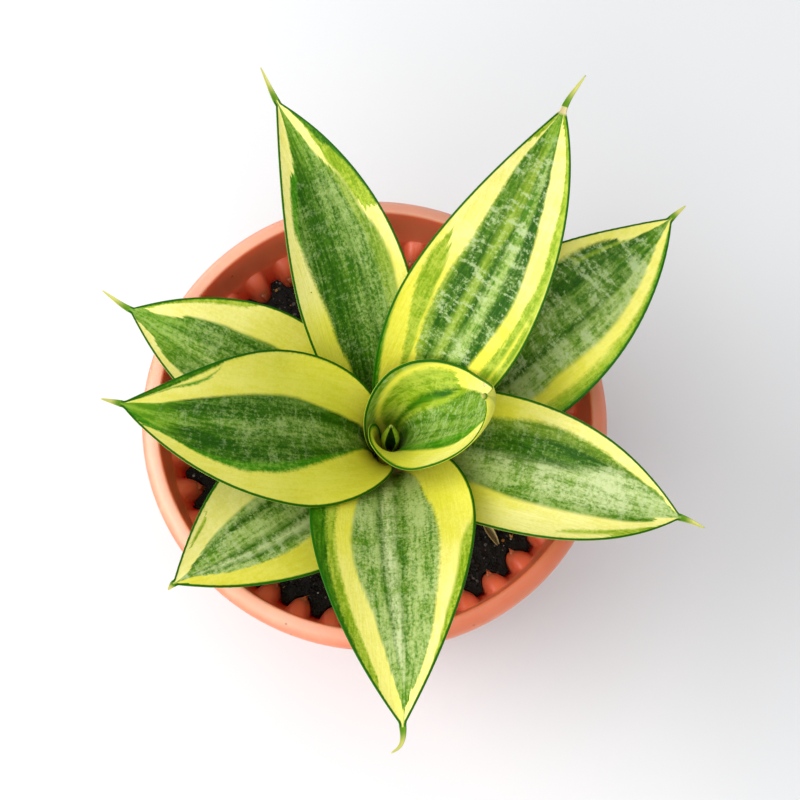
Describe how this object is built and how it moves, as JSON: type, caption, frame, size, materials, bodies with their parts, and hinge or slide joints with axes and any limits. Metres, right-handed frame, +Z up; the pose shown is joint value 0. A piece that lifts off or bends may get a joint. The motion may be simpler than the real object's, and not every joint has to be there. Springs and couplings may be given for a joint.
{
  "type": "potted snake plant",
  "caption": "Low rosette of broad pointed striped leaves with a rolled young leaf at the centre, growing in dark soil in a round tapered pot with a wide collar.",
  "frame": {"origin": "centre of the pot's foot, on the surface it stands on", "axes": "+Z up along the pot's axis, -Y towards the viewer, +X to the viewer's right"},
  "size_m": [0.195, 0.2131, 0.1763],
  "materials": {
    "pot": "satin terracotta-coloured plastic",
    "soil": "dark granular potting mix",
    "stem": "fibrous",
    "husk": "dry",
    "leaf": "waxy leaf with green centre and yellow margins"
  },
  "bodies": {
    "root": {"pot": "pot", "soil": "soil", "stem": "stem", "husk": "husk", "leaf_rolled": "leaf", "leaf_g": "leaf", "leaf_b": "leaf", "leaf_e": "leaf", "leaf_a": "leaf", "leaf_d": "leaf", "leaf_f": "leaf", "leaf_c": "leaf", "leaf_h": "leaf", "leaf_core": "leaf"}
  },
  "joints": []
}
